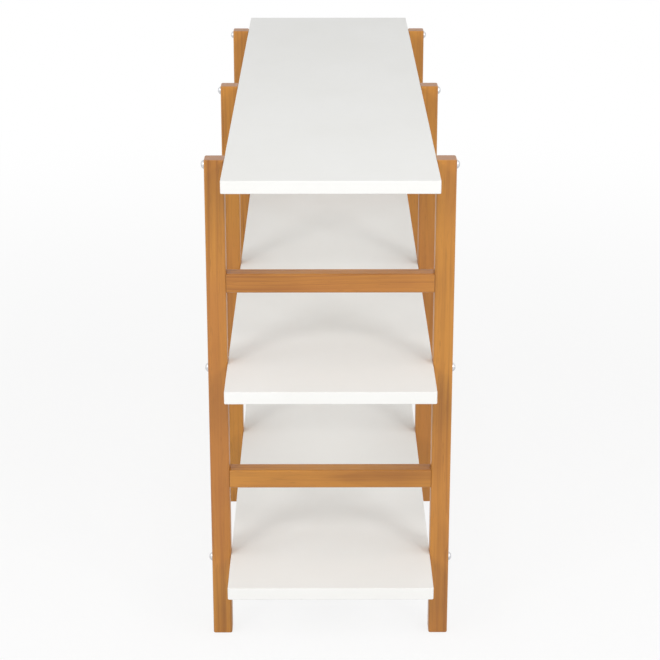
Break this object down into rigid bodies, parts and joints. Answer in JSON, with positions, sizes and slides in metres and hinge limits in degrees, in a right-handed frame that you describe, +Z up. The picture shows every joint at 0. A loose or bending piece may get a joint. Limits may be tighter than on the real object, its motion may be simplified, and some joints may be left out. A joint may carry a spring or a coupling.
{
  "type": "shelving unit",
  "caption": "Low open shelving unit: long white boards screwed between upright stained wooden posts, with cross rails at both ends and no back.",
  "frame": {"origin": "on the floor, under the middle of the unit", "axes": "+X along the boards, +Y from the front long side to the back one, +Z up"},
  "size_m": [1.2, 0.3594, 0.73],
  "materials": {
    "stained_wood": "honey-brown stained and satin lacquered solid wood",
    "white_lacquer": "white satin lacquered fibreboard",
    "zinc_steel": "bright zinc plated",
    "dowel_wood": "raw fluted beech"
  },
  "bodies": {
    "root": {"post_left_front": "stained_wood", "post_left_back": "stained_wood", "post_middle_front": "stained_wood", "post_middle_back": "stained_wood", "post_right_front": "stained_wood", "post_right_back": "stained_wood", "rail_left_lower": "stained_wood", "dowels_rail_left_lower": "dowel_wood", "rail_left_upper": "stained_wood", "dowels_rail_left_upper": "dowel_wood", "rail_right_lower": "stained_wood", "dowels_rail_right_lower": "dowel_wood", "rail_right_upper": "stained_wood", "dowels_rail_right_upper": "dowel_wood", "board_bottom": "white_lacquer", "screws_bottom_front": "zinc_steel", "dowels_bottom_front": "dowel_wood", "screws_bottom_back": "zinc_steel", "dowels_bottom_back": "dowel_wood", "board_middle": "white_lacquer", "screws_middle_front": "zinc_steel", "dowels_middle_front": "dowel_wood", "screws_middle_back": "zinc_steel", "dowels_middle_back": "dowel_wood", "board_top": "white_lacquer", "screws_top_front": "zinc_steel", "dowels_top_front": "dowel_wood", "screws_top_back": "zinc_steel", "dowels_top_back": "dowel_wood"}
  },
  "joints": []
}
